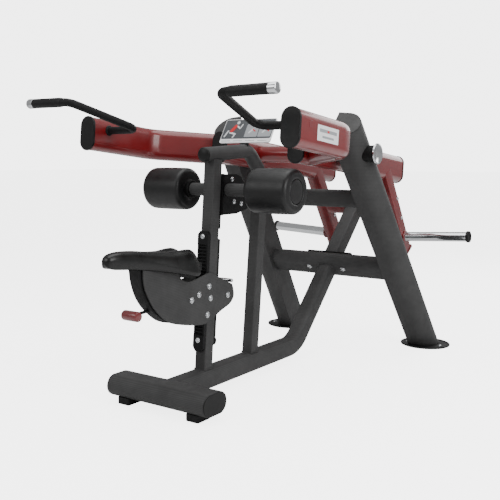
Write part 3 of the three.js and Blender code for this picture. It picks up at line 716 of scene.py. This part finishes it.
two("handle_grip", make_grip, GRIP, "lever", "grip", slot="rubber")
two("handle_end", lambda: bm_turned([(0, 0), (17.6, 0), (19.2, 1), (19.4, 3), (19.4, 27), (18.2, 30.5), (15, 32.2), (0, 32.4)], hp[3] - hdir * 32.2, hdir, 48), CHROME, "lever", slot="chrome")
two("handle_foot", lambda: bm_turned([(0, 0), (22, 0), (22.5, 1), (20, 5), (16.5, 7), (0, 7)], (467.8, -1357.0, 1107), (-1, 0.04, 0.0), 36), BLACKM, "lever", slot="black_metal")


# label plate and key square on the outer side of each arm
def lab(u0, u1, w0, w1, r, t, x=542.3):
    def f():
        o = V((x, 0, 0))
        bm = bm_plate(rr(u0, u1, w0, w1, r), o, (0, 1, 0), (0, 0, 1), (1, 0, 0), t)
        return lev(bm)
    return f


two("label_plate", lab(sy(-1325), sy(-1170), -30, 27, 2, 1.0), WHITE, "lever", slot="placard", bevel=0.4)
two("label_bar_a", lab(sy(-1312), sy(-1184), 2, 14, 3, 0.3, 543.2), SIGN2, "lever", slot="placard")
two("label_bar_b", lab(sy(-1290), sy(-1206), -18, -10, 2, 0.3, 543.2), SIGN2, "lever", slot="placard")
two("label_dot", lab(sy(-1256), sy(-1240), 4, 12, 4, 0.4, 543.3), REDP, "lever", slot="placard")
two("arm_key", lab(sy(-1383), sy(-1362), 10, 34, 3, 1.6, 542.0), KNOB, "lever", slot="knob_red", bevel=0.6)

# pivot housings
two("housing", lambda: bm_turned([(0, 0), (37, 0), (37.5, 1), (37.5, 78), (36, 80), (0, 80)], (361.5, -630, 1009), (1, 0, 0), 56), BLACKM, "frame", "bearing_housing", slot="black_metal")
two("housing_cover", lambda: bm_turned([(0, 0), (44.5, 0), (46, 1.4), (46, 6.4), (45, 8), (42.5, 8.9), (40, 9), (39, 8.4), (0, 8.6)], (441.6, -630, 1009), (1, 0, 0), 72), CHROME, "frame", "pivot_cover", slot="chrome")


# ------------------------------------------------------------------ seat carriage
def smooth_open(pts, k=5):
    out = []
    n = len(pts)
    for i in range(n - 1):
        p0, p1, p2, p3 = pts[max(i - 1, 0)], pts[i], pts[i + 1], pts[min(i + 2, n - 1)]
        for j in range(k):
            t = j / k
            out.append(tuple(0.5 * ((2 * p1[c]) + (-p0[c] + p2[c]) * t + (2 * p0[c] - 5 * p1[c] + 4 * p2[c] - p3[c]) * t * t + (-p0[c] + 3 * p1[c] - 3 * p2[c] + p3[c]) * t ** 3) for c in (0, 1)))
    out.append(pts[-1])
    return out


low = smooth_open([(-1692, 592), (-1690, 535), (-1671, 485), (-1630, 426), (-1561, 370), (-1479, 343), (-1360, 322), (-1300, 330), (-1233, 357), (-1165, 380), (-1139, 408), (-1141, 440), (-1150, 462)])
hi = smooth_open([(-1150, 462), (-1188, 478), (-1254, 508), (-1300, 527), (-1350, 520), (-1400, 510), (-1438, 508), (-1475, 522), (-1500, 552)])
plate = low + hi[1:] + [(-1560, 592)]
two("carriage_side", lambda: bm_plate(plate, (28.1, 0, 0), (0, 1, 0), (0, 0, 1), (1, 0, 0), 5.8), FRAME, "carriage", "carriage_plate", slot="frame_paint", bevel=1.2, sharp=40)
for i, (y, z) in enumerate(((-1307, 473), (-1373, 448), (-1299, 423), (-1419, 432), (-1182, 419), (-1320, 357))):
    for s in (1, -1):
        bolt(f"carriage_bolt_{i}_{'right' if s > 0 else 'left'}", (s * 33.9, y, z), (s, 0, 0), CHROME, "carriage", r=10, h=7)
piece("carriage_rear_bar", bm_tube(circle(8, 24), [(-42, -1161, 478), (42, -1161, 478)], (), (0, 0, 1)), CHROME, "carriage", slot="chrome", bevel=1.5)
outer = smooth_open([(-1711, 592), (-1702, 533), (-1677, 473), (-1630, 417), (-1560, 368)], 6)
inner = smooth_open([(-1549, 385), (-1616, 432), (-1659, 482), (-1682, 538), (-1690, 592)], 6)
piece("carriage_strip", bm_plate(outer + inner, (-24, 0, 0), (0, 1, 0), (0, 0, 1), (1, 0, 0), 48), RUBBER, "carriage", ["carriage_front_strip"], "rubber", bevel=2.2, sharp=40)

tip = V((0, -1722, 417))
piv = V((0, -1419, 432))
d = (piv - tip).normalized()
piece("latch_rod", bm_turned([(0, 0), (6, 0), (6, 170), (0, 170)], tip + d * 2, d, 28), BLACKM, "latch", ["latch_lever"], "black_metal")
piece("latch_grip", bm_turned([(0, -38), (13, -38), (16.4, -37), (18.4, -34.5), (19, -31), (19.2, 0), (19, 31), (18.4, 34.5), (16.4, 37), (13, 38), (0, 38)], tip, (1, 0, 0), 48), KNOB, "latch", ["latch_knob"], "knob_red")
piece("latch_collar", bm_turned([(0, 0), (9, 0), (10, 1), (10, 10), (8, 12), (0, 12)], tip + d * 17, d, 28), BLACKM, "latch", slot="black_metal")

# saddle: moulded form lofted along its length
STN = [
    # y, half width, centre height, lobe height, edge height, underside
    (-1853, 6, 628, 628, 625, 619), (-1850, 15, 640, 639, 630, 610), (-1842, 22, 650, 648, 633, 604), (-1826, 28, 658, 655, 635, 599),
    (-1798, 32, 661, 658, 634, 596), (-1760, 35, 660, 657, 630, 592), (-1712, 41, 656, 654, 623, 586), (-1665, 49, 649, 648, 613, 579),
    (-1622, 60, 642, 643, 602, 571), (-1580, 73, 637, 640, 589, 562), (-1540, 84, 631, 638, 576, 554), (-1505, 93, 630, 641, 564, 546),
    (-1475, 98, 629, 643, 556, 538), (-1452, 99, 628, 643, 551, 533), (-1438, 97, 626, 640, 551, 533), (-1430, 91, 621, 633, 556, 540), (-1427, 80, 612, 620, 572, 556),
]


def make_saddle():
    bm = bmesh.new()
    rows = []
    for y, w, zc_, zl, ze, zb in STN:
        top = []
        half = [(0.0, zc_), (0.22, zc_ + (zl - zc_) * 0.35), (0.45, zl), (0.66, zl - (zl - ze) * 0.12), (0.83, zl - (zl - ze) * 0.38), (0.95, zl - (zl - ze) * 0.74), (1.0, ze), (0.985, ze - (ze - zb) * 0.45), (0.93, ze - (ze - zb) * 0.85), (0.8, zb), (0.45, zb + 1.5), (0.15, zb + 2)]
        ring = [(x * w, z) for x, z in half] + [(-x * w, z) for x, z in reversed(half[1:])]
        rows.append([bm.verts.new((x, y, z)) for x, z in ring])
    n = len(rows[0])
    for a, b in zip(rows, rows[1:]):
        for k in range(n):
            bm.faces.new((a[k], a[(k + 1) % n], b[(k + 1) % n], b[k]))
    for r in (rows[0], rows[-1]):
        c = bm.verts.new(sum((v.co for v in r), V((0, 0, 0))) / n)
        for k in range(n):
            bm.faces.new((r[k], r[(k + 1) % n], c))
    return bm


o = piece("saddle_pad", make_saddle(), SADDLE, "carriage", ["saddle"], "pad_skin", sharp=180)
sb = o.modifiers.new("soft", "SUBSURF"); sb.levels = 2; sb.render_levels = 3
piece("saddle_base", bm_plate([(-1700, 585), (-1600, 566), (-1470, 528), (-1400, 520), (-1345, 545), (-1345, 575), (-1440, 600), (-1700, 602)], (-27.4, 0, 0), (0, 1, 0), (0, 0, 1), (1, 0, 0), 54.8), PLASTIC, "carriage", slot="cap_plastic", bevel=2)

# bracket behind the placard
sign("placard_bracket_plate", rr(-45, 45, 4, 84, 6), -9.6, 3.4, BLACKM, "black_metal", ["placard_bracket"], 0.8)
sign("placard_bracket_foot", rr(-22, 22, -34, 12, 2), -12.4, 5.6, BLACKM, "black_metal", (), 0.8)

# ------------------------------------------------------------------ floor, light, camera
fm = Mat("floor_pale")
fm.set(fm.mixc(fm.ramp(fm.noise(3, 2), 0, 1), (0.86, 0.86, 0.865, 1), (0.9, 0.9, 0.9, 1)), 0.6, 0.0, fm.bump(fm.noise(300, 2), 0.02, 0.0005))
fm.b.inputs["Emission Color"].default_value = (1, 1, 1, 1)
lpf = fm.n("ShaderNodeLightPath"); ml = fm.n("ShaderNodeMath", operation="MULTIPLY"); fm.link(lpf.outputs["Is Camera Ray"], ml.inputs[0]); ml.inputs[1].default_value = 3.9
fm.link(ml.outputs[0], fm.b.inputs["Emission Strength"])
bm = bmesh.new()
vs = [bm.verts.new(c) for c in ((-60, -60, -0.0005), (60, -60, -0.0005), (60, 60, -0.0005), (-60, 60, -0.0005))]
bm.faces.new(vs)
me = bpy.data.meshes.new("floor"); bm.to_mesh(me); bm.free(); me.materials.append(fm.m)
fl = bpy.data.objects.new("floor", me); bpy.context.scene.collection.objects.link(fl)

w = bpy.data.worlds.new("studio"); w.use_nodes = True
bg = w.node_tree.nodes["Background"]
bg.inputs[0].default_value = (1, 1, 1, 1); bg.inputs[1].default_value = 0.42
bg2 = w.node_tree.nodes.new("ShaderNodeBackground"); bg2.inputs[0].default_value = (1, 1, 1, 1); bg2.inputs[1].default_value = 4.6
lp = w.node_tree.nodes.new("ShaderNodeLightPath"); mx = w.node_tree.nodes.new("ShaderNodeMixShader")
w.node_tree.links.new(lp.outputs["Is Camera Ray"], mx.inputs[0]); w.node_tree.links.new(bg.outputs[0], mx.inputs[1]); w.node_tree.links.new(bg2.outputs[0], mx.inputs[2])
w.node_tree.links.new(mx.outputs[0], w.node_tree.nodes["World Output"].inputs[0])
bpy.context.scene.world = w


def area(name, loc, target, size, sy_, energy):
    l = bpy.data.lights.new(name, "AREA"); l.shape = "RECTANGLE"; l.size = size; l.size_y = sy_; l.energy = energy
    o = bpy.data.objects.new(name, l); bpy.context.scene.collection.objects.link(o)
    o.location = loc
    o.rotation_euler = (V(target) - V(loc)).to_track_quat("-Z", "Y").to_euler()
    return o


area("key_right", (3.6, -0.9, 2.3), (0.3, -0.1, 0.7), 2.6, 2.4, 105)
area("top", (0.0, -0.3, 3.4), (0, -0.1, 0.5), 2.4, 3.2, 70)
area("front_fill", (-1.2, -3.6, 2.6), (0, -0.4, 0.6), 2.8, 1.6, 42)

area("back_fill", (0.6, 3.8, 2.2), (0, 0.2, 0.6), 2.6, 1.8, 45)

cam = bpy.data.cameras.new("camera"); cam.lens = 53.751; cam.sensor_width = 36; cam.sensor_fit = "HORIZONTAL"
co = bpy.data.objects.new("camera", cam); bpy.context.scene.collection.objects.link(co)
co.location = (1.890843, -2.863695, 0.965)
co.rotation_euler = (math.radians(83.16), 0, math.radians(35.12))
bpy.context.scene.camera = co
